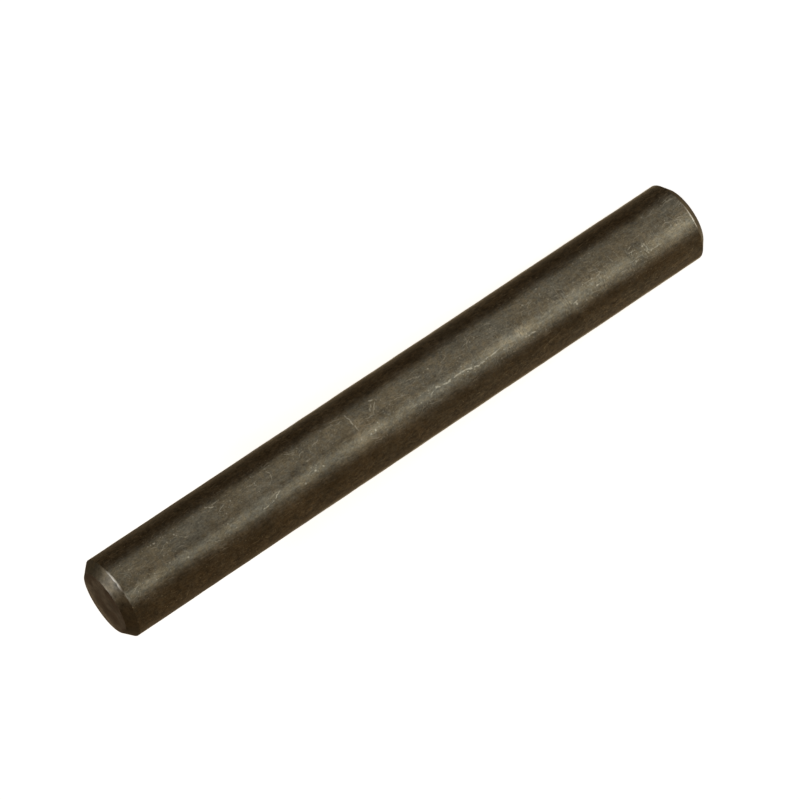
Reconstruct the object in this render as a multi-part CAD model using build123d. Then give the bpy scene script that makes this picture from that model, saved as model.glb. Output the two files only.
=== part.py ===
from build123d import *
import os
from math import radians, tan

# Heel jaw pin: one length of round steel bar, turned and chamfered at both ends and blackened.
# It is driven through the side walls of a pipe wrench head and through the heel jaw between them.
# Sizes are in millimetres. The pin stands on one end: the origin is the centre of the foot face,
# and +Z runs along the pin's axis to the top face.

# Shank: the plain round part that fills the hole in the wrench head
SHANK_DIAMETER = 9.525
PIN_LENGTH = 79.0

# Chamfers: how far each runs along the pin, and its slope off the axis in degrees
TOP_CHAMFER_LENGTH = 1.05
TOP_CHAMFER_ANGLE = 45.0
FOOT_CHAMFER_LENGTH = 0.87
FOOT_CHAMFER_ANGLE = 48.0

# Broken edges: the small radii that tumbling leaves on the turned corners
SHOULDER_RADIUS = 0.08
FACE_RIM_RADIUS = 0.10

NODE_NAME = "heel_jaw_pin"


def face_radius(chamfer_length, chamfer_angle):
    """The radius of the flat that a chamfer leaves on the end of the pin."""
    return SHANK_DIAMETER / 2 - chamfer_length * tan(radians(chamfer_angle))


def half_section():
    """Half of the pin's lengthwise section, from its axis out to the shank."""
    shank_radius = SHANK_DIAMETER / 2
    foot_centre = (0, 0)
    foot_rim = (face_radius(FOOT_CHAMFER_LENGTH, FOOT_CHAMFER_ANGLE), 0)
    foot_shoulder = (shank_radius, FOOT_CHAMFER_LENGTH)
    top_shoulder = (shank_radius, PIN_LENGTH - TOP_CHAMFER_LENGTH)
    top_rim = (face_radius(TOP_CHAMFER_LENGTH, TOP_CHAMFER_ANGLE), PIN_LENGTH)
    top_centre = (0, PIN_LENGTH)
    with BuildSketch(Plane.XZ) as section:
        with BuildLine():
            FilletPolyline(
                foot_centre,
                foot_rim,
                foot_shoulder,
                top_shoulder,
                top_rim,
                top_centre,
                radius=(FACE_RIM_RADIUS, SHOULDER_RADIUS, SHOULDER_RADIUS, FACE_RIM_RADIUS),
            )
            Line(top_centre, foot_centre)
        make_face()
    return section.sketch


def turned_pin():
    """The half section swept once round the pin's axis, as the bar turns in the lathe."""
    return revolve(half_section(), axis=Axis.Z, revolution_arc=360)


os.makedirs("parts", exist_ok=True)
pin = turned_pin()
pin.label = NODE_NAME
export_step(pin, f"parts/{NODE_NAME}.step")
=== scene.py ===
from math import cos, pi, radians, sin, tan

import bpy
from mathutils import Matrix, Vector


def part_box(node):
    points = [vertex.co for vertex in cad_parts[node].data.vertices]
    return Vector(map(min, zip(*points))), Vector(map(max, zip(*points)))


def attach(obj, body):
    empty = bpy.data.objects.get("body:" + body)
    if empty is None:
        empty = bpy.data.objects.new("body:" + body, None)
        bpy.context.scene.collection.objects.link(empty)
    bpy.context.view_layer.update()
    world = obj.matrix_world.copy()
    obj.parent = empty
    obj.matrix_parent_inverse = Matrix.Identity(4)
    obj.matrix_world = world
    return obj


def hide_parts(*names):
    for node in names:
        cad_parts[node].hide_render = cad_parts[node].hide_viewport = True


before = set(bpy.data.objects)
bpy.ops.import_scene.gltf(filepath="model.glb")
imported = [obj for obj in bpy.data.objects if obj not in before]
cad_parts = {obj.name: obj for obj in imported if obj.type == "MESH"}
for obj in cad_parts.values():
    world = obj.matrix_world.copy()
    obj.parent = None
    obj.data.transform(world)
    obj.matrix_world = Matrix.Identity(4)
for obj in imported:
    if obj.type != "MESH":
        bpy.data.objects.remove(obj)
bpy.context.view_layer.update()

MM = 0.001

# Camera: a long lens half a metre from the pin, looking a little down on it. It is rolled about its
# own line of sight, so that the standing pin lies slantwise in the picture with its top at the lower
# left. The middle of the top face is held to one point of the picture, which fixes all the rest.
LENS = 212.05
SENSOR_WIDTH = 36.0
PICTURE_SIDE = 800
LOOK_DOWN = radians(19.15)
CAMERA_ROLL = radians(-123.712)
TOP_FACE_DEPTH = 494.80 * MM
TOP_FACE_PIXEL = (104.29, 602.88)
NEAREST_SEEN = 10 * MM

top_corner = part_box("heel_jaw_pin")[1]
shank_radius = top_corner.x
pin_length = top_corner.z


def before_camera(pixel, depth):
    """The point seen at that pixel and depth, in the camera's own axes."""
    middle = (PICTURE_SIDE - 1) / 2
    pixels_per_slope = LENS / SENSOR_WIDTH * PICTURE_SIDE
    across = (pixel[0] - middle) / pixels_per_slope
    down = (pixel[1] - middle) / pixels_per_slope
    return Vector((across * depth, -down * depth, -depth))


def make_camera():
    """The camera, turned to the photograph's angle and then put where the top face falls on its pixel."""
    turn = Matrix.Rotation(pi / 2 - LOOK_DOWN, 4, "X") @ Matrix.Rotation(CAMERA_ROLL, 4, "Z")
    top_centre = Vector((0, 0, pin_length))
    place = top_centre - turn @ before_camera(TOP_FACE_PIXEL, TOP_FACE_DEPTH)
    data = bpy.data.cameras.new("camera")
    data.lens = LENS
    data.sensor_width = SENSOR_WIDTH
    data.clip_start = NEAREST_SEEN
    camera = bpy.data.objects.new("camera", data)
    camera.matrix_world = Matrix.Translation(place) @ turn
    bpy.context.scene.collection.objects.link(camera)
    bpy.context.scene.camera = camera


make_camera()

# Pin: one length of round steel bar, ground on its shank and turned at both ends to a flat face and a
# chamfer, then blackened in a hot oxide bath and oiled. It has been driven in and out of a wrench
# head, so the oxide is rubbed thin, scored and nicked, and bright steel shows on its shoulders. A
# bright stretch on the front of each shoulder is partly a painted glint, and the back of each face's
# rim has a painted highlight.
TOP_CHAMFER = 1.05 * MM
FOOT_CHAMFER = 0.87 * MM
FOOT_CHAMFER_SLOPE = radians(48)
SHOULDER_RADIUS = 0.08 * MM
RIM_RADIUS = 0.10 * MM
FACETS_ROUND = 160
ROUNDING_FACETS = 6
MESH_STEP = 0.21 * MM
SAME_POINT = 0.001 * MM
WAVE_DEPTH = 0.09 * MM
WAVE_SIZE = 3.5 * MM
DENTS_PER_SQUARE_MM = 0.012
DENT_DEPTH = 0.02 * MM
DENT_SIZE = 0.45 * MM
DENT_SEED = 11

OXIDE_BROWN = (0.099, 0.082, 0.055, 1)
OXIDE_GREY = (0.089, 0.082, 0.065, 1)
OXIDE_DARK = (0.050, 0.037, 0.021, 1)
CHAMFER_GREY = (0.088, 0.078, 0.060, 1)
FACE_BROWN = (0.125, 0.097, 0.082, 1)
FACE_GREY = (0.215, 0.196, 0.178, 1)
# Rubbed steel, also the colour of the two painted glint lines on the shoulders.
RUBBED_STEEL_AND_GLINT = (0.26, 0.24, 0.19, 1)
# Bare steel, also the colour of the painted glints on the shoulders and the painted highlight on the faces'
# rims.
BARE_STEEL_AND_HIGHLIGHT = (0.62, 0.59, 0.52, 1)
TURNED_ROUGHNESS = 0.36
TURNED_EDGE_TINT = (0.8, 0.8, 0.8, 1)

# How finely each pattern is spread along its own axes, so that it is drawn out one way. The mottle's
# axes are those of the solid pin, and the others' run round the pin and up it.
MOTTLE_SPREAD = (1.0, 1.0, 0.6)
LAY_SPREAD = (3.6, 0.9, 1.0)
FLANK_GRAIN_SPREAD = (1.9, 1.3, 1.0)
CHATTER_SPREAD = (1.7, 7.0, 1.0)

# Millimetres round the pin from its front: where its flanks begin and are full, and the middle of the
# chatter. The pits are shifted round and up, so that they don't fall where the sparkles do.
FLANK_BEGINS = 2.6
FLANK_FULL = 4.8
CHATTER_MIDDLE = -0.7
PIT_SHIFT = (7.3, 4.1, 0.0)

# The shares of broad and small patches in the oxide's colour, how strongly each effect lightens or
# darkens it, and how far each raises the surface, in millimetres.
BROAD_PATCHES = 0.4
SMALL_PATCHES = 0.6
CHATTER_STRENGTH = 1.7
PIT_STRENGTH = 0.35
CURL_STRENGTH = 0.3
FINE_SPARKLE_STRENGTH = 0.6
MOTTLE_RELIEF = 0.02
SCRATCH_RELIEF = 0.004
RING_RELIEF = 0.002
GRAIN_RELIEF = 0.003

# Layers of scattered scratches: the size of a cell and a scratch's width in millimetres, its slant and
# how far slants spread, and the share of cells that have a scratch.
SCRATCH_LAYERS = (
    (2.9, 0.14, pi / 2, 0.5, 0.80),
    (1.7, 0.13, pi / 2, 0.8, 0.80),
    (2.3, 0.10, 0.0, 2 * pi, 0.35),
    (1.1, 0.12, pi / 2, 1.2, 0.40),
)

# Marks on the front of the shank, the last two of them painted glints along the shoulders: a width in
# millimetres, a strength, and a chain of points in millimetres round and up the pin.
RUBBED_LINES_AND_SHOULDER_GLINTS = (
    (0.22, 0.75, ((-0.3, 37.0), (-0.7, 36.0), (-0.6, 34.4), (-0.6, 32.8), (-0.9, 31.8), (-1.1, 31.0))),
    (0.22, 0.65, ((-1.1, 31.0), (-1.0, 30.3), (-0.9, 29.5), (-0.8, 28.2))),
    (0.24, 0.9, ((-1.2, 25.3), (-1.4, 24.2), (-1.4, 23.4))),
    (0.18, 1.0, ((-1.1, 60.3), (-0.9, 58.5), (-0.3, 57.6))),
    (0.22, 1.0, ((2.6, 46.8), (0.1, 46.5))),
    (0.24, 1.0, ((2.5, 43.6), (2.0, 42.7))),
    (0.20, 0.8, ((2.0, 43.2), (0.8, 44.2))),
    (0.20, 0.7, ((2.1, 43.6), (1.3, 44.3))),
    (0.16, 0.5, ((3.0, 55.1), (2.6, 54.0), (2.0, 53.0))),
    (0.18, 0.5, ((0.7, 53.5), (0.7, 52.8))),
    (0.16, 0.4, ((2.6, 30.4), (1.1, 31.1))),
    (0.16, 0.5, ((2.2, 33.8), (1.8, 33.6), (1.4, 34.5))),
    (0.19, 0.6, ((2.6, 73.5), (2.1, 73.6))),
    (0.19, 0.6, ((-3.9, 59.8), (-4.3, 60.0))),
    (0.16, 0.5, ((1.4, 10.9), (0.2, 10.7))),
    (0.16, 0.4, ((1.2, 11.8), (0.1, 11.6))),
    (0.16, 0.4, ((1.4, 19.3), (0.7, 18.1))),
    (0.16, 0.4, ((0.9, 8.5), (1.2, 6.6))),
    (0.22, 0.9, ((2.7, 65.3), (2.5, 65.0), (2.1, 64.4))),
    (0.16, 0.5, ((2.4, 65.9), (2.0, 65.2))),
    (0.15, 0.5, ((2.1, 61.4), (2.0, 60.4), (1.8, 59.6), (1.1, 58.9))),
    (0.16, 0.6, ((2.3, 57.6), (1.7, 57.3), (1.0, 57.7), (0.7, 58.3))),
    (0.18, 0.6, ((-4.9, 62.5), (-4.8, 62.2))),
    (0.15, 0.5, ((1.6, 69.7), (1.2, 69.1), (1.0, 68.7))),
    (0.15, 0.6, ((2.7, 55.0), (2.2, 53.6))),
    (0.15, 0.4, ((2.2, 54.8), (2.2, 53.2))),
    (0.18, 0.5, ((2.7, 49.7), (2.3, 48.4), (2.2, 47.5))),
    (0.14, 0.5, ((1.1, 41.9), (0.7, 40.0))),
    (0.16, 0.4, ((2.2, 39.4), (1.4, 37.3))),
    (0.20, 0.5, ((-4.0, 23.6), (-3.6, 22.3), (-3.2, 20.7))),
    (0.18, 0.4, ((-3.7, 23.0), (-3.3, 21.9))),
    (0.22, 0.8, ((-5.7, 31.0), (-5.6, 30.5))),
    (0.24, 0.8, ((2.0, 23.2), (1.7, 23.0))),
    (0.22, 0.5, ((3.7, 25.0), (3.3, 24.7))),
    (0.19, 0.9, ((-1.2, 18.0), (-1.2, 17.5))),
    (0.14, 0.3, ((1.5, 23.5), (0.4, 24.0))),
    (0.19, 0.5, ((0.1, 7.5), (-0.7, 7.3), (-0.9, 7.6))),
    (0.16, 0.4, ((-1.0, 7.2), (-1.1, 5.2))),
    (0.16, 0.5, ((-1.3, 11.5), (-1.4, 10.5))),
    (0.15, 0.6, ((-0.9, 14.9), (-1.0, 14.0))),
    (0.15, 0.7, ((-0.8, 28.4), (-0.7, 27.6))),
    # Painted glints along the foot's shoulder and the top's shoulder.
    (0.26, 0.5, ((-4.5, 0.9), (-2.2, 0.9))),
    (0.26, 0.4, ((4.2, 77.9), (6.7, 77.9))),
)
SCORED_LINES = (
    (0.14, 0.8, ((0.2, 34.2), (-0.3, 34.2))),
    (0.14, 0.8, ((0.1, 33.9), (-0.4, 33.9))),
    (0.14, 0.6, ((0.1, 33.6), (-0.3, 33.5))),
    (0.30, 0.7, ((-0.5, 1.9), (-0.4, 2.0))),
)
BRIGHT_SPECKS = (
    (2.1, 69.8),
    (2.6, 72.0),
    (-0.8, 69.9),
    (-1.2, 54.7),
    (3.8, 19.4),
    (3.6, 21.5),
    (1.9, 23.1),
    (3.5, 24.8),
    (2.6, 20.5),
    (-0.4, 77.9),
    (-2.0, 77.9),
    (-3.0, 77.9),
    (-0.6, 46.8),
    (-0.7, 45.6),
    (-0.6, 44.9),
    (-0.7, 53.0),
    (-0.7, 51.9),
    (1.8, 36.1),
    (-1.4, 17.7),
    (-1.6, 16.4),
    (-0.1, 7.6),
)
SPECK_SIZE = 0.28

# Stretches of the front that handling has polished or left dull, laid out like the marks.
POLISHED_STRETCHES = (
    (5.0, 0.30, ((-0.1, 44.5), (-0.1, 47.0))),
    (3.0, 0.26, ((-0.8, 24.0), (-0.9, 29.5))),
    (2.6, 0.22, ((-1.1, 1.5), (-1.1, 4.5))),
)
DULL_STRETCHES = (
    (3.6, 0.22, ((-0.6, 7.0), (-0.8, 9.5))),
    (3.2, 0.24, ((-1.5, 71.0), (-1.6, 74.0))),
    (2.6, 0.09, ((-1.4, 25.0), (-1.4, 40.0))),
    (1.6, 0.11, ((1.8, 27.0), (1.8, 36.0))),
)

# Nicks in the foot's flat face, laid out like the marks, but in millimetres from the axis.
FOOT_NICKS = (
    (0.45, 1.0, ((-0.9, 3.0), (-0.5, 2.8))),
)


def add(tree, kind, sockets=None, **settings):
    """A new node with its settings, and each named or numbered input given a value or a link."""
    made = tree.nodes.new(kind)
    for name, value in settings.items():
        setattr(made, name, value)
    for name, value in (sockets or {}).items():
        if isinstance(value, bpy.types.NodeSocket):
            tree.links.new(value, made.inputs[name])
        else:
            made.inputs[name].default_value = value
    return made


def maths(tree, operation, *values):
    """The result of a Math node."""
    return add(tree, "ShaderNodeMath", dict(enumerate(values)), operation=operation).outputs[0]


def product(tree, *values):
    """All the values multiplied together."""
    result = values[0]
    for value in values[1:]:
        result = maths(tree, "MULTIPLY", result, value)
    return result


def vector_maths(tree, operation, *values, output="Vector"):
    """The result of a Vector Math node."""
    return add(tree, "ShaderNodeVectorMath", dict(enumerate(values)), operation=operation).outputs[output]


def scaled_vector(tree, vector, scale):
    """The vector, scale times as long."""
    sockets = {"Vector": vector, "Scale": scale}
    return add(tree, "ShaderNodeVectorMath", sockets, operation="SCALE").outputs["Vector"]


def fade(tree, value, start, end, low=0.0, high=1.0):
    """A smooth change from low to high as value goes from start to end."""
    sockets = {"Value": value, "From Min": start, "From Max": end, "To Min": low, "To Max": high}
    made = add(tree, "ShaderNodeMapRange", sockets, interpolation_type="SMOOTHSTEP")
    return made.outputs["Result"]


def noise(tree, vector, scale, detail=3.0, roughness=0.55):
    """Smooth random values about one half, with about scale lumps to the unit."""
    sockets = {"Vector": vector, "Scale": scale, "Detail": detail, "Roughness": roughness}
    return add(tree, "ShaderNodeTexNoise", sockets).outputs[0]


def drawn_out_noise(tree, place, spread, detail=3.0, roughness=0.55):
    """Noise with its own number of lumps to the unit along each axis."""
    return noise(tree, vector_maths(tree, "MULTIPLY", place, spread), 1.0, detail, roughness)


def blend_colours(tree, share, first, second, mode="MIX"):
    """The colour that lies between first and second by share."""
    made = add(tree, "ShaderNodeMix", {0: share, 6: first, 7: second}, data_type="RGBA", blend_type=mode)
    return made.outputs[2]


def new_group(kind, name, inputs, outputs):
    """A node tree with named inputs and outputs, and its input and output nodes."""
    tree = bpy.data.node_groups.new(name, kind)
    for label, socket_type in inputs:
        tree.interface.new_socket(label, in_out="INPUT", socket_type=socket_type)
    for label, socket_type in outputs:
        tree.interface.new_socket(label, in_out="OUTPUT", socket_type=socket_type)
    return tree, tree.nodes.new("NodeGroupInput").outputs, tree.nodes.new("NodeGroupOutput")


def unrolled_group():
    """Where a point lies on the pin, in millimetres: round it from its front, up it, and off its axis."""
    tree, _, result = new_group(
        "ShaderNodeTree",
        "unrolled_surface",
        [],
        [("Unrolled", "NodeSocketVector"), ("Solid", "NodeSocketVector"), ("Off Axis", "NodeSocketFloat")],
    )
    place = add(tree, "ShaderNodeTexCoord").outputs["Object"]
    solid = vector_maths(tree, "MULTIPLY", place, (1 / MM, 1 / MM, 1 / MM))
    parts = add(tree, "ShaderNodeSeparateXYZ", {0: solid}).outputs
    angle = maths(tree, "ARCTAN2", parts["X"], product(tree, parts["Y"], -1.0))
    around = product(tree, angle, shank_radius / MM)
    unrolled = add(tree, "ShaderNodeCombineXYZ", {"X": around, "Y": parts["Z"]}).outputs[0]
    flat = add(tree, "ShaderNodeCombineXYZ", {"X": parts["X"], "Y": parts["Y"]}).outputs[0]
    tree.links.new(unrolled, result.inputs["Unrolled"])
    tree.links.new(solid, result.inputs["Solid"])
    tree.links.new(vector_maths(tree, "LENGTH", flat, output="Value"), result.inputs["Off Axis"])
    return tree


def scratches_group():
    """Short scratches, one to a cell at most, each at its own slant."""
    tree, given, result = new_group(
        "ShaderNodeTree",
        "scratches",
        [
            ("Unrolled", "NodeSocketVector"),
            ("Cell Size", "NodeSocketFloat"),
            ("Width", "NodeSocketFloat"),
            ("Slant", "NodeSocketFloat"),
            ("Slant Spread", "NodeSocketFloat"),
            ("Share", "NodeSocketFloat"),
        ],
        [("Mask", "NodeSocketFloat")],
    )
    per_cell = maths(tree, "DIVIDE", 1.0, given["Cell Size"])
    scaled = scaled_vector(tree, given["Unrolled"], per_cell)
    sockets = {"Vector": scaled, "Scale": 1.0, "Randomness": 1.0}
    cells = add(tree, "ShaderNodeTexVoronoi", sockets, voronoi_dimensions="2D").outputs
    chance = add(tree, "ShaderNodeSeparateColor", {0: cells["Color"]}).outputs
    turn = product(tree, maths(tree, "SUBTRACT", chance[0], 0.5), given["Slant Spread"])
    slant = maths(tree, "ADD", given["Slant"], turn)
    from_middle = vector_maths(tree, "SUBTRACT", scaled, cells["Position"])
    sockets = {"Vector": from_middle, "Angle": product(tree, slant, -1.0)}
    turned = add(tree, "ShaderNodeVectorRotate", sockets, rotation_type="Z_AXIS").outputs[0]
    parts = add(tree, "ShaderNodeSeparateXYZ", {0: turned}).outputs
    bend = product(tree, maths(tree, "SUBTRACT", chance[2], 0.5), parts["X"], parts["X"])
    across = maths(tree, "ABSOLUTE", maths(tree, "SUBTRACT", parts["Y"], bend))
    thin = fade(tree, across, product(tree, given["Width"], per_cell, 0.5), 0.0)
    short = fade(tree, maths(tree, "ABSOLUTE", parts["X"]), 0.45, 0.15)
    there = maths(tree, "LESS_THAN", chance[1], given["Share"])
    depth = fade(tree, chance[2], 0.0, 1.0, 0.3, 1.0)
    tree.links.new(product(tree, thin, short, there, depth), result.inputs["Mask"])
    return tree


def rubbed_line_group():
    """One straight line between two points, widest halfway: going by way of it is barely a detour."""
    tree, given, result = new_group(
        "ShaderNodeTree",
        "rubbed_line",
        [
            ("Place", "NodeSocketVector"),
            ("Start", "NodeSocketVector"),
            ("End", "NodeSocketVector"),
            ("Width", "NodeSocketFloat"),
            ("Strength", "NodeSocketFloat"),
        ],
        [("Mask", "NodeSocketFloat")],
    )
    length = vector_maths(tree, "DISTANCE", given["Start"], given["End"], output="Value")
    from_start = vector_maths(tree, "DISTANCE", given["Place"], given["Start"], output="Value")
    from_end = vector_maths(tree, "DISTANCE", given["Place"], given["End"], output="Value")
    detour = maths(tree, "ADD", from_start, from_end)
    width_squared = product(tree, given["Width"], given["Width"])
    longest = maths(tree, "SQRT", maths(tree, "ADD", product(tree, length, length), width_squared))
    mask = fade(tree, detour, longest, length)
    tree.links.new(product(tree, mask, given["Strength"]), result.inputs["Mask"])
    return tree


def shoulder_wear_and_glint_group():
    """Bright steel along one shoulder: all of it over one stretch, partly bare steel and partly a painted
    glint, and chips of bare steel elsewhere.
    """
    tree, given, result = new_group(
        "ShaderNodeTree",
        "shoulder_wear_and_glint",
        [
            ("Unrolled", "NodeSocketVector"),
            ("Shoulder Height", "NodeSocketFloat"),
            ("Glint Middle", "NodeSocketFloat"),
            ("Glint Reach", "NodeSocketFloat"),
            ("Strength", "NodeSocketFloat"),
        ],
        [("Mask", "NodeSocketFloat")],
    )
    parts = add(tree, "ShaderNodeSeparateXYZ", {0: given["Unrolled"]}).outputs
    below = maths(tree, "ABSOLUTE", maths(tree, "SUBTRACT", parts["Y"], given["Shoulder Height"]))
    aside = maths(tree, "ABSOLUTE", maths(tree, "SUBTRACT", parts["X"], given["Glint Middle"]))
    ragged = noise(tree, given["Unrolled"], scale=2.2)
    near = fade(tree, maths(tree, "ADD", below, fade(tree, ragged, 0.4, 0.7, 0.0, 0.06)), 0.14, 0.05)
    # Over this stretch the bright steel is partly a painted glint, not only wear.
    rubbed = fade(tree, aside, given["Glint Reach"], product(tree, given["Glint Reach"], 0.3))
    rubbed = product(tree, rubbed, given["Strength"])
    chips = fade(tree, noise(tree, given["Unrolled"], scale=0.9), 0.56, 0.70, 0.0, 0.12)
    tree.links.new(product(tree, near, maths(tree, "MAXIMUM", rubbed, chips)), result.inputs["Mask"])
    return tree


UNROLLED = unrolled_group()
SCRATCHES = scratches_group()
RUBBED_LINE = rubbed_line_group()
SHOULDER_BARE_AND_GLINT = shoulder_wear_and_glint_group()


def new_material(name):
    """A material with its Principled shader, ready for its nodes."""
    material = bpy.data.materials.new(name)
    material.use_nodes = True
    return material, material.node_tree, material.node_tree.nodes["Principled BSDF"]


def shoulders_bare_and_glinting(tree, unrolled):
    """How far the two shoulders are worn to bare steel at each point, with a painted glint over a stretch on
    the front of each.
    """
    # The stretch on the front of each shoulder is partly a painted glint; the chips elsewhere are wear.
    top = {
        "Unrolled": unrolled,
        "Shoulder Height": (pin_length - TOP_CHAMFER) / MM,
        "Glint Middle": 1.45,
        "Glint Reach": 1.8,
        "Strength": 0.52,
    }
    foot = {
        "Unrolled": unrolled,
        "Shoulder Height": FOOT_CHAMFER / MM,
        "Glint Middle": -0.35,
        "Glint Reach": 2.1,
        "Strength": 0.56,
    }
    at_top = add(tree, "ShaderNodeGroup", top, node_tree=SHOULDER_BARE_AND_GLINT).outputs[0]
    at_foot = add(tree, "ShaderNodeGroup", foot, node_tree=SHOULDER_BARE_AND_GLINT).outputs[0]
    return maths(tree, "MAXIMUM", at_top, at_foot)


def drawn_lines(tree, place, lines):
    """A mask of single lines, each a width, a strength and a chain of points."""
    drawn = 0.0
    for width, strength, chain in lines:
        for start, end in zip(chain, chain[1:]):
            sockets = {
                "Place": place,
                "Start": (*start, 0),
                "End": (*end, 0),
                "Width": width,
                "Strength": strength,
            }
            line = add(tree, "ShaderNodeGroup", sockets, node_tree=RUBBED_LINE).outputs[0]
            drawn = maths(tree, "MAXIMUM", line, drawn)
    return drawn


def speck(around, up):
    """A speck at that point, as a line so short that it is a dot."""
    return SPECK_SIZE, 1.0, ((around, up), (around - 0.1, up + 0.1))


def scattered_scratches(tree, unrolled, bent):
    """Hairlines all over the shank, most of them nearly along it and a few at any slant."""
    scratches = 0.0
    for cell, width, slant, spread, share in SCRATCH_LAYERS:
        sockets = {
            "Unrolled": bent,
            "Cell Size": cell,
            "Width": width,
            "Slant": slant,
            "Slant Spread": spread,
            "Share": share,
        }
        layer = add(tree, "ShaderNodeGroup", sockets, node_tree=SCRATCHES).outputs[0]
        scratches = maths(tree, "MAXIMUM", layer, scratches)
    broken = fade(tree, noise(tree, unrolled, scale=0.7), 0.37, 0.55)
    return product(tree, scratches, broken)


def pinpoints(tree, unrolled, per_mm, size):
    """Tiny round spots of that reach in millimetres, one to a cell at most."""
    sockets = {"Vector": unrolled, "Scale": per_mm, "Randomness": 1.0}
    cells = add(tree, "ShaderNodeTexVoronoi", sockets, voronoi_dimensions="2D").outputs
    chance = add(tree, "ShaderNodeSeparateColor", {0: cells["Color"]}).outputs[0]
    reach = size * per_mm
    return product(tree, fade(tree, cells["Distance"], reach, reach / 4), fade(tree, chance, 0.4, 0.8))


def chatter(tree, unrolled):
    """Fine strokes square to the axis, low on the front of the pin: light above nought and dark below."""
    strokes = drawn_out_noise(tree, unrolled, CHATTER_SPREAD, detail=1.0)
    parts = add(tree, "ShaderNodeSeparateXYZ", {0: unrolled}).outputs
    aside = maths(tree, "ABSOLUTE", maths(tree, "SUBTRACT", parts["X"], CHATTER_MIDDLE))
    in_front = product(tree, fade(tree, aside, 2.4, 0.8), fade(tree, parts["Y"], 36.0, 26.0))
    broken = fade(tree, noise(tree, unrolled, scale=0.5, detail=1.0), 0.45, 0.60)
    return product(tree, maths(tree, "SUBTRACT", strokes, 0.5), in_front, broken)


def wandered(tree, place, scale, reach):
    """The place, pushed about by smooth random steps, so that what is drawn there is bent."""
    drift = add(tree, "ShaderNodeTexNoise", {"Vector": place, "Scale": scale}).outputs["Color"]
    step = vector_maths(tree, "SUBTRACT", drift, (0.5, 0.5, 0.5))
    return vector_maths(tree, "ADD", place, scaled_vector(tree, step, reach))


def fine_scratches(tree, unrolled, solid):
    """The scratches too fine to place one by one: hairlines, curls and pinpoints, where it is scuffed."""
    hairlines = scattered_scratches(tree, unrolled, wandered(tree, unrolled, scale=0.5, reach=1.2))
    winding = noise(tree, solid, scale=0.9, detail=1.0)
    contour = maths(tree, "ABSOLUTE", maths(tree, "SUBTRACT", winding, 0.5))
    curls = product(tree, fade(tree, contour, 0.015, 0.0), CURL_STRENGTH)
    fine_sparkles = product(tree, pinpoints(tree, unrolled, per_mm=2.3, size=0.09), FINE_SPARKLE_STRENGTH)
    sparkles = maths(tree, "MAXIMUM", pinpoints(tree, unrolled, per_mm=1.1, size=0.11), fine_sparkles)
    scratches = maths(tree, "MAXIMUM", maths(tree, "MAXIMUM", hairlines, curls), sparkles)
    scuffed = fade(tree, noise(tree, solid, scale=0.24, detail=1.0), 0.42, 0.60, 0.25, 1.0)
    return product(tree, scratches, scuffed)


def oxide_tone(tree, unrolled, mottle, speckle, on_flank):
    """How light or dark the oxide is at each point, with its plain colour as one."""
    grain = drawn_out_noise(tree, unrolled, FLANK_GRAIN_SPREAD, detail=4.0, roughness=0.85)
    flank_grain = product(tree, fade(tree, grain, 0.3, 0.7, -0.55, 0.55), on_flank)
    lay = drawn_out_noise(tree, unrolled, LAY_SPREAD, detail=2.0)
    strokes = product(tree, chatter(tree, unrolled), CHATTER_STRENGTH)
    polished = drawn_lines(tree, unrolled, POLISHED_STRETCHES)
    pits = pinpoints(tree, vector_maths(tree, "ADD", unrolled, PIT_SHIFT), per_mm=1.5, size=0.10)
    dull = drawn_lines(tree, unrolled, DULL_STRETCHES)
    tone = product(tree, fade(tree, mottle, 0.2, 0.8, 0.6, 1.4), fade(tree, speckle, 0.2, 0.8, 0.8, 1.2))
    tone = product(tree, tone, fade(tree, lay, 0.3, 0.7, 0.86, 1.14))
    for gain in (flank_grain, strokes, polished):
        tone = product(tree, tone, maths(tree, "ADD", gain, 1.0))
    for loss in (product(tree, pits, PIT_STRENGTH), dull):
        tone = product(tree, tone, maths(tree, "SUBTRACT", 1.0, loss))
    return tone


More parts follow.
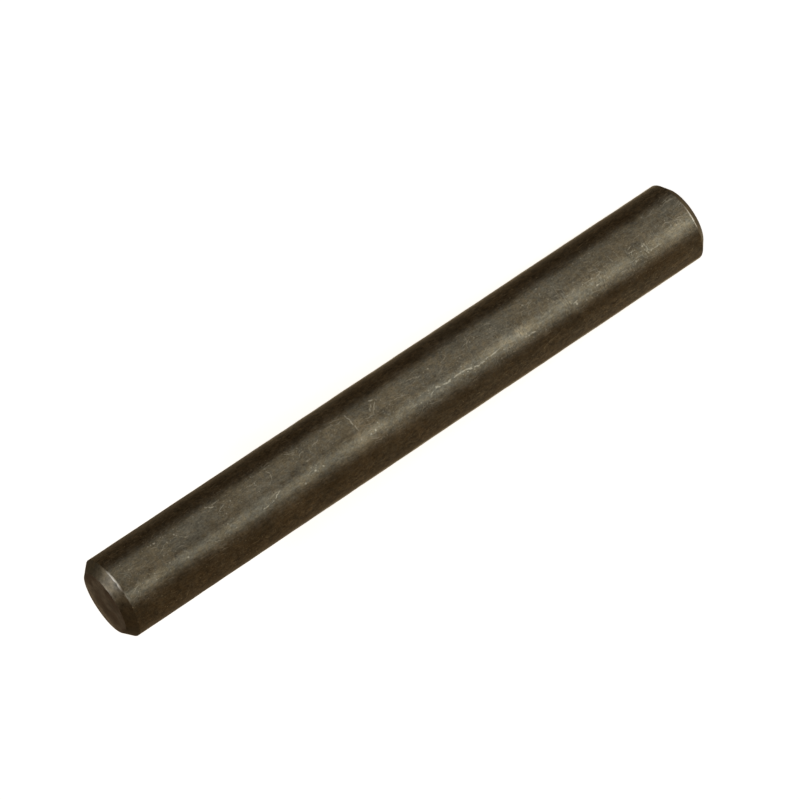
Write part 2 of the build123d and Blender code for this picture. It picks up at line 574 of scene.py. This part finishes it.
def ground_steel():
    """The shank's finish: ground, blackened and rubbed."""
    material, tree, shader = new_material("ground_blackened_steel")
    surface = add(tree, "ShaderNodeGroup", node_tree=UNROLLED).outputs
    unrolled, solid = surface["Unrolled"], surface["Solid"]
    drawn_out = vector_maths(tree, "MULTIPLY", solid, MOTTLE_SPREAD)
    mottle = noise(tree, drawn_out, scale=0.40, detail=5.0, roughness=0.95)
    speckle = noise(tree, drawn_out, scale=8.0, detail=1.0)
    aside = maths(tree, "ABSOLUTE", add(tree, "ShaderNodeSeparateXYZ", {0: unrolled}).outputs["X"])
    on_flank = fade(tree, aside, FLANK_BEGINS, FLANK_FULL)

    broad_patches = product(tree, noise(tree, solid, scale=0.18, detail=1.0), BROAD_PATCHES)
    small_patches = product(tree, noise(tree, solid, scale=2.2), SMALL_PATCHES)
    patches = fade(tree, maths(tree, "ADD", broad_patches, small_patches), 0.36, 0.64)
    oxide = blend_colours(tree, patches, OXIDE_BROWN, OXIDE_GREY)
    tone = oxide_tone(tree, unrolled, mottle, speckle, on_flank)
    oxide = blend_colours(tree, 1.0, oxide, tone, "MULTIPLY")

    scratches = fine_scratches(tree, unrolled, solid)
    laid_bare = product(tree, scratches, fade(tree, on_flank, 0.0, 1.0, 0.7, 1.1))
    near_marks = wandered(tree, unrolled, scale=1.8, reach=0.5)
    specks = tuple(speck(*spot) for spot in BRIGHT_SPECKS)
    # The marks include two painted glints along the shoulders.
    marks_and_glints = drawn_lines(tree, near_marks, RUBBED_LINES_AND_SHOULDER_GLINTS + specks)
    marks_and_glints = product(tree, marks_and_glints, fade(tree, speckle, 0.35, 0.55, 0.65, 1.0))
    scores = drawn_lines(tree, near_marks, SCORED_LINES)
    rubbed = blend_colours(tree, laid_bare, oxide, RUBBED_STEEL_AND_GLINT)
    marked = blend_colours(tree, marks_and_glints, rubbed, RUBBED_STEEL_AND_GLINT)
    scored = blend_colours(tree, scores, marked, OXIDE_DARK)
    # Bare steel on the shoulders, with a painted glint over a stretch on the front of each.
    colour = blend_colours(tree, shoulders_bare_and_glinting(tree, unrolled), scored, BARE_STEEL_AND_HIGHLIGHT)

    roughness = fade(tree, mottle, 0.3, 0.7, 0.28, 0.38)
    raised = product(tree, mottle, MOTTLE_RELIEF)
    relief = maths(tree, "SUBTRACT", raised, product(tree, scratches, SCRATCH_RELIEF))
    bump = add(tree, "ShaderNodeBump", {"Height": relief, "Strength": 1.0, "Distance": MM})
    shader.inputs["Metallic"].default_value = 1.0
    tree.links.new(colour, shader.inputs["Base Color"])
    tree.links.new(roughness, shader.inputs["Roughness"])
    tree.links.new(bump.outputs[0], shader.inputs["Normal"])
    return material


def turned_steel():
    """The finish of the chamfers and end faces: turned in the lathe and blackened, with a painted highlight
    at the back of each face's rim.
    """
    material, tree, shader = new_material("turned_blackened_steel")
    surface = add(tree, "ShaderNodeGroup", node_tree=UNROLLED).outputs
    sockets = {"W": surface["Off Axis"], "Scale": 7.0, "Detail": 2.0}
    rings = add(tree, "ShaderNodeTexNoise", sockets, noise_dimensions="1D").outputs[0]
    patches = noise(tree, surface["Solid"], scale=0.6, detail=2.0)
    grain = noise(tree, surface["Solid"], scale=0.9, detail=4.0, roughness=0.9)
    rim = (shank_radius - TOP_CHAMFER) / MM
    on_face = fade(tree, surface["Off Axis"], rim + 0.08, rim - 0.12)
    behind = add(tree, "ShaderNodeSeparateXYZ", {0: surface["Solid"]}).outputs["Y"]
    # Painted highlight: each face is lightened towards bright steel near its rim on the back of the pin.
    painted_rim_highlight = fade(tree, surface["Off Axis"], rim - 2.6, rim - 0.6, 0.0, 0.5)
    painted_rim_highlight = product(tree, painted_rim_highlight, fade(tree, behind, 0.2, 2.9))
    nicks = drawn_lines(tree, surface["Solid"], FOOT_NICKS)
    worn_and_glinting = shoulders_bare_and_glinting(tree, surface["Unrolled"])

    oxide = blend_colours(tree, fade(tree, patches, 0.35, 0.65), CHAMFER_GREY, OXIDE_BROWN)
    face = blend_colours(tree, fade(tree, patches, 0.45, 0.60), FACE_BROWN, FACE_GREY)
    face = blend_colours(tree, nicks, face, RUBBED_STEEL_AND_GLINT)
    face = blend_colours(tree, painted_rim_highlight, face, BARE_STEEL_AND_HIGHLIGHT)
    oxide = blend_colours(tree, on_face, oxide, face)
    tone = fade(tree, grain, 0.2, 0.8, 0.4, 1.6)
    oxide = blend_colours(tree, 1.0, oxide, tone, "MULTIPLY")
    # Bare steel on the shoulders, with a painted glint over a stretch on the front of each.
    colour = blend_colours(tree, worn_and_glinting, oxide, BARE_STEEL_AND_HIGHLIGHT)

    relief = maths(tree, "ADD", product(tree, rings, RING_RELIEF), product(tree, grain, GRAIN_RELIEF))
    bump = add(tree, "ShaderNodeBump", {"Height": relief, "Strength": 1.0, "Distance": MM})
    shader.inputs["Metallic"].default_value = 1.0
    shader.inputs["Roughness"].default_value = TURNED_ROUGHNESS
    shader.inputs["Specular Tint"].default_value = TURNED_EDGE_TINT
    tree.links.new(colour, shader.inputs["Base Color"])
    tree.links.new(bump.outputs[0], shader.inputs["Normal"])
    return material


def index_switch(tree, data_type, values):
    """A field that takes one of the values by each point's number."""
    made = tree.nodes.new("GeometryNodeIndexSwitch")
    made.data_type = data_type
    while len(made.index_switch_items) < len(values):
        made.index_switch_items.new()
    tree.links.new(add(tree, "GeometryNodeInputIndex").outputs[0], made.inputs["Index"])
    for number, value in enumerate(values):
        if isinstance(value, bpy.types.NodeSocket):
            tree.links.new(value, made.inputs[number + 1])
        else:
            made.inputs[number + 1].default_value = value
    return made.outputs[0]


def half_section(tree, given):
    """The curve of half the pin's lengthwise section, laid out for the ring that it is swept round."""
    shoulder_height = maths(tree, "SUBTRACT", given["Length"], given["Top Chamfer"])
    corners = (
        (0.0, 0.0),
        (maths(tree, "SUBTRACT", given["Shank Radius"], given["Foot Chamfer Width"]), 0.0),
        (given["Shank Radius"], given["Foot Chamfer"]),
        (given["Shank Radius"], shoulder_height),
        (maths(tree, "SUBTRACT", given["Shank Radius"], given["Top Chamfer"]), given["Length"]),
        (0.0, given["Length"]),
    )
    spots = []
    for off_axis, height in corners:
        across = maths(tree, "SUBTRACT", off_axis, given["Shank Radius"])
        sockets = {"X": across, "Y": maths(tree, "MULTIPLY", height, -1.0)}
        spots.append(add(tree, "ShaderNodeCombineXYZ", sockets).outputs[0])
    position = index_switch(tree, "VECTOR", spots)
    points = add(tree, "GeometryNodePoints", {"Count": len(corners), "Position": position}).outputs[0]
    line = add(tree, "GeometryNodePointsToCurves", {"Points": points}).outputs[0]
    shoulder, rim = given["Shoulder Radius"], given["Rim Radius"]
    radius = index_switch(tree, "FLOAT", (0.0, rim, shoulder, shoulder, rim, 0.0))
    sockets = {"Curve": line, "Count": ROUNDING_FACETS, "Radius": radius}
    rounded = add(tree, "GeometryNodeFilletCurve", sockets, mode="POLY").outputs[0]
    here = add(tree, "GeometryNodeInputPosition").outputs[0]
    following = maths(tree, "ADD", add(tree, "GeometryNodeInputIndex").outputs[0], 1.0)
    sockets = {"Index": following, "Value": here}
    ahead = add(tree, "GeometryNodeFieldAtIndex", sockets, data_type="FLOAT_VECTOR").outputs[0]
    run = vector_maths(tree, "DISTANCE", here, ahead, output="Value")
    cuts = maths(tree, "FLOOR", maths(tree, "DIVIDE", run, given["Mesh Step"]))
    return add(tree, "GeometryNodeSubdivideCurve", {"Curve": rounded, "Cuts": cuts}).outputs[0]


def swept_section(tree, given):
    """The section swept round the ring: closed, smooth, and with its faces outwards."""
    section = half_section(tree, given)
    sockets = {"Resolution": given["Facets Round"], "Radius": given["Shank Radius"]}
    ring = add(tree, "GeometryNodeCurvePrimitiveCircle", sockets).outputs[0]
    swept = add(tree, "GeometryNodeCurveToMesh", {"Curve": ring, "Profile Curve": section}).outputs[0]
    closed = add(tree, "GeometryNodeMergeByDistance", {"Geometry": swept, "Distance": SAME_POINT}).outputs[0]
    outside = add(tree, "GeometryNodeFlipFaces", {"Mesh": closed}).outputs[0]
    return add(tree, "GeometryNodeSetShadeSmooth", {"Geometry": outside}).outputs[0]


def waves(tree, given, here):
    """How far the surface swells out or in at each point."""
    per_wave = maths(tree, "DIVIDE", 1.0, given["Wave Size"])
    swell = maths(tree, "SUBTRACT", noise(tree, here, per_wave, detail=2.0), 0.5)
    return maths(tree, "MULTIPLY", swell, given["Wave Depth"])


def dents(tree, given, here, surface):
    """How far the surface is sunk at each point, in small hollows at random spots."""
    density = maths(tree, "DIVIDE", given["Dents per Square Millimetre"], MM * MM)
    sockets = {"Mesh": surface, "Density": density, "Seed": DENT_SEED}
    spots = add(tree, "GeometryNodeDistributePointsOnFaces", sockets).outputs[0]
    nearest = add(tree, "GeometryNodeSampleNearest", {"Geometry": spots}).outputs[0]
    sockets = {"Geometry": spots, "Value": here, "Index": nearest}
    spot = add(tree, "GeometryNodeSampleIndex", sockets, data_type="FLOAT_VECTOR").outputs[0]
    away = vector_maths(tree, "DISTANCE", here, spot, output="Value")
    return maths(tree, "MULTIPLY", fade(tree, away, given["Dent Size"], 0.0), given["Dent Depth"])


def turned_pin_tree():
    """The Geometry Nodes that turn the section round the axis, then wave and dent its surface."""
    tree, given, result = new_group(
        "GeometryNodeTree",
        "turned_pin",
        [
            ("Shank Radius", "NodeSocketFloat"),
            ("Length", "NodeSocketFloat"),
            ("Top Chamfer", "NodeSocketFloat"),
            ("Foot Chamfer", "NodeSocketFloat"),
            ("Foot Chamfer Width", "NodeSocketFloat"),
            ("Shoulder Radius", "NodeSocketFloat"),
            ("Rim Radius", "NodeSocketFloat"),
            ("Facets Round", "NodeSocketInt"),
            ("Mesh Step", "NodeSocketFloat"),
            ("Wave Depth", "NodeSocketFloat"),
            ("Wave Size", "NodeSocketFloat"),
            ("Dents per Square Millimetre", "NodeSocketFloat"),
            ("Dent Depth", "NodeSocketFloat"),
            ("Dent Size", "NodeSocketFloat"),
            ("Shank Finish", "NodeSocketMaterial"),
            ("End Finish", "NodeSocketMaterial"),
        ],
        [("Geometry", "NodeSocketGeometry")],
    )
    smooth = swept_section(tree, given)
    here = add(tree, "GeometryNodeInputPosition").outputs[0]
    height = add(tree, "ShaderNodeSeparateXYZ", {0: here}).outputs["Z"]
    shoulder_height = maths(tree, "SUBTRACT", given["Length"], given["Top Chamfer"])
    lower_end = maths(tree, "MULTIPLY", given["Foot Chamfer"], 3.0)
    upper_end = maths(tree, "SUBTRACT", shoulder_height, given["Top Chamfer"])
    above_foot = fade(tree, height, given["Foot Chamfer"], lower_end)
    on_shank = maths(tree, "MULTIPLY", above_foot, fade(tree, height, shoulder_height, upper_end))

    swell = maths(tree, "MULTIPLY", waves(tree, given, here), on_shank)
    dent = maths(tree, "MULTIPLY", dents(tree, given, here, smooth), on_shank)
    outward = add(tree, "GeometryNodeInputNormal").outputs[0]
    offset = scaled_vector(tree, outward, maths(tree, "SUBTRACT", swell, dent))
    worn = add(tree, "GeometryNodeSetPosition", {"Geometry": smooth, "Offset": offset}).outputs[0]

    real = add(tree, "GeometryNodeRealizeInstances", {"Geometry": worn}).outputs[0]
    sockets = {"Geometry": real, "Material": given["End Finish"]}
    ends = add(tree, "GeometryNodeSetMaterial", sockets).outputs[0]
    above = maths(tree, "GREATER_THAN", height, given["Foot Chamfer"])
    between = maths(tree, "MULTIPLY", above, maths(tree, "LESS_THAN", height, shoulder_height))
    sockets = {"Geometry": ends, "Selection": between, "Material": given["Shank Finish"]}
    finished = add(tree, "GeometryNodeSetMaterial", sockets).outputs[0]
    tree.links.new(finished, result.inputs["Geometry"])
    return tree


def grown_mesh(name, tree, values):
    """A plain mesh object made by a Geometry Nodes tree with those input values."""
    seed_mesh = bpy.data.meshes.new(name + "_seed")
    grower = bpy.data.objects.new(name + "_grower", seed_mesh)
    bpy.context.scene.collection.objects.link(grower)
    modifier = grower.modifiers.new("nodes", "NODES")
    modifier.node_group = tree
    for item in tree.interface.items_tree:
        if item.in_out == "INPUT":
            modifier[item.identifier] = values[item.name]
    evaluated = grower.evaluated_get(bpy.context.evaluated_depsgraph_get())
    mesh = bpy.data.meshes.new_from_object(evaluated)
    grower.modifiers.remove(modifier)
    bpy.data.objects.remove(grower)
    bpy.data.meshes.remove(seed_mesh)
    mesh.name = name
    made = bpy.data.objects.new(name, mesh)
    bpy.context.scene.collection.objects.link(made)
    return made


pin = grown_mesh(
    "finished_pin",
    turned_pin_tree(),
    {
        "Shank Radius": shank_radius,
        "Length": pin_length,
        "Top Chamfer": TOP_CHAMFER,
        "Foot Chamfer": FOOT_CHAMFER,
        "Foot Chamfer Width": FOOT_CHAMFER * tan(FOOT_CHAMFER_SLOPE),
        "Shoulder Radius": SHOULDER_RADIUS,
        "Rim Radius": RIM_RADIUS,
        "Facets Round": FACETS_ROUND,
        "Mesh Step": MESH_STEP,
        "Wave Depth": WAVE_DEPTH,
        "Wave Size": WAVE_SIZE,
        "Dents per Square Millimetre": DENTS_PER_SQUARE_MM,
        "Dent Depth": DENT_DEPTH,
        "Dent Size": DENT_SIZE,
        "Shank Finish": ground_steel(),
        "End Finish": turned_steel(),
    },
)
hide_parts("heel_jaw_pin")
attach(pin, "root")

# Floor: a light table, a wide sheet of white acrylic lit from beneath, that the pin stands on. It is
# kept out of the pin's own gloss, so that the softboxes alone draw the bands along the shank.
FLOOR_HALF_WIDTH = 6.0
ACRYLIC_WHITE = (0.86, 0.86, 0.85, 1)
ACRYLIC_GLOW = 0.68
ACRYLIC_ROUGHNESS = 0.9


def make_floor():
    """The sheet, flat at the height of the pin's foot."""
    half = FLOOR_HALF_WIDTH
    corners = [(-half, -half, 0), (half, -half, 0), (half, half, 0), (-half, half, 0)]
    mesh = bpy.data.meshes.new("floor")
    mesh.from_pydata(corners, [], [(0, 1, 2, 3)])
    material, _, shader = new_material("white_acrylic")
    shader.inputs["Base Color"].default_value = ACRYLIC_WHITE
    shader.inputs["Roughness"].default_value = ACRYLIC_ROUGHNESS
    shader.inputs["Emission Color"].default_value = (1, 1, 1, 1)
    shader.inputs["Emission Strength"].default_value = ACRYLIC_GLOW
    mesh.materials.append(material)
    made = bpy.data.objects.new("floor", mesh)
    made.visible_glossy = False
    made.visible_shadow = False
    bpy.context.scene.collection.objects.link(made)
    return made


floor = make_floor()

# Studio: softboxes stand round the pin in a dim warm room, each a plain even panel, and most reach below
# the sheet, where the shank looks. A sun from behind the camera, a little lower than the camera as seen
# from the foot, lights the sheet alone and throws a soft shadow straight back, where the pin hides it.
ROOM_GLOW = (0.241, 0.168, 0.095, 1)
ROOM_LEAN = (-0.35, -0.2, -0.3)
BACKDROP_WHITE = (1.1, 1.1, 1.1, 1)
DAYLIGHT = (0.965, 1.0, 0.985)
SKYLIGHT = (0.92, 1.0, 1.015)
COOL_LIGHT = (0.93, 1.0, 1.15)
LAMPLIGHT = (1.0, 0.93, 0.75)
AMBER_LIGHT = (1.0, 0.88, 0.62)
GOLDEN_LIGHT = (1.0, 0.83, 0.50)
SUN_STRENGTH = 2.9
SUN_HEIGHT = radians(22)
SUN_WIDTH = radians(4)


def lights_only(lamp, piece):
    """Keeps a lamp's light for that one object."""
    lit = bpy.data.collections.new("lit_by_" + lamp.name)
    lit.objects.link(piece)
    lamp.light_linking.receiver_collection = lit


def softbox(name, azimuth, out, up, width, height, brightness, colour, tipped=0.0):
    """An even panel for the pin alone, its middle so far out and up in metres, and tipped down."""
    data = bpy.data.lights.new(name, "AREA")
    data.shape = "RECTANGLE"
    data.size = width
    data.size_y = height
    data.color = colour
    data.energy = brightness * pi * width * height
    lamp = bpy.data.objects.new(name, data)
    around = radians(azimuth)
    spot = Vector((sin(around) * out, -cos(around) * out, up))
    facing = Matrix.Rotation(around, 4, "Z") @ Matrix.Rotation(pi / 2 - radians(tipped), 4, "X")
    lamp.matrix_world = Matrix.Translation(spot) @ facing
    lamp.visible_camera = False
    lights_only(lamp, pin)
    bpy.context.scene.collection.objects.link(lamp)


def floor_sun():
    """The sun that only the floor sees."""
    data = bpy.data.lights.new("floor_sun", "SUN")
    data.energy = SUN_STRENGTH
    data.angle = SUN_WIDTH
    lamp = bpy.data.objects.new("floor_sun", data)
    lamp.rotation_euler = (pi / 2 - SUN_HEIGHT, 0, 0)
    lights_only(lamp, floor)
    bpy.context.scene.collection.objects.link(lamp)


def make_room():
    """A dim glow, stronger from the left, the front and below, and plain white past the floor."""
    world = bpy.data.worlds.new("room")
    world.use_nodes = True
    tree = world.node_tree
    tree.nodes.clear()
    seen = add(tree, "ShaderNodeLightPath").outputs["Is Camera Ray"]
    towards = add(tree, "ShaderNodeTexCoord").outputs["Generated"]
    lean = vector_maths(tree, "DOT_PRODUCT", towards, ROOM_LEAN, output="Value")
    strength = maths(tree, "ADD", lean, 1.0)
    glow = add(tree, "ShaderNodeBackground", {"Color": ROOM_GLOW, "Strength": strength}).outputs[0]
    white = add(tree, "ShaderNodeBackground", {"Color": BACKDROP_WHITE}).outputs[0]
    mixed = add(tree, "ShaderNodeMixShader", {0: seen, 1: glow, 2: white}).outputs[0]
    add(tree, "ShaderNodeOutputWorld", {"Surface": mixed})
    bpy.context.scene.world = world


make_room()
floor_sun()
# Round from the front in degrees, out, up, width and height in metres, brightness, colour and tip.
softbox("broad_box", 40, 0.80, -0.15, 0.83, 0.90, 0.97, DAYLIGHT)
softbox("streak_box", -16.5, 0.80, -0.15, 0.34, 0.90, 1.57, SKYLIGHT)
softbox("low_box", -19, 0.35, -0.25, 0.38, 0.30, 1.52, DAYLIGHT)
softbox("left_box", -109, 0.50, -0.33, 0.42, 0.34, 0.178, LAMPLIGHT)
softbox("back_box", 180, 0.80, -0.34, 0.70, 0.26, 0.60, GOLDEN_LIGHT)
softbox("flank_box", 141, 0.80, -0.30, 0.32, 0.40, 0.10, AMBER_LIGHT)
softbox("right_box", 135, 0.55, 0.40, 0.90, 0.46, 0.15, AMBER_LIGHT)
softbox("under_box", 215, 0.22, -0.33, 0.42, 0.30, 0.36, AMBER_LIGHT, tipped=-58)
softbox("top_lamp", 73, 0.235, 0.63, 0.34, 0.34, 2.35, COOL_LIGHT, tipped=67)
softbox("upper_box", 85, 0.24, 0.665, 0.80, 0.80, 0.44, LAMPLIGHT, tipped=70)

bpy.context.scene.view_settings.view_transform = "Standard"
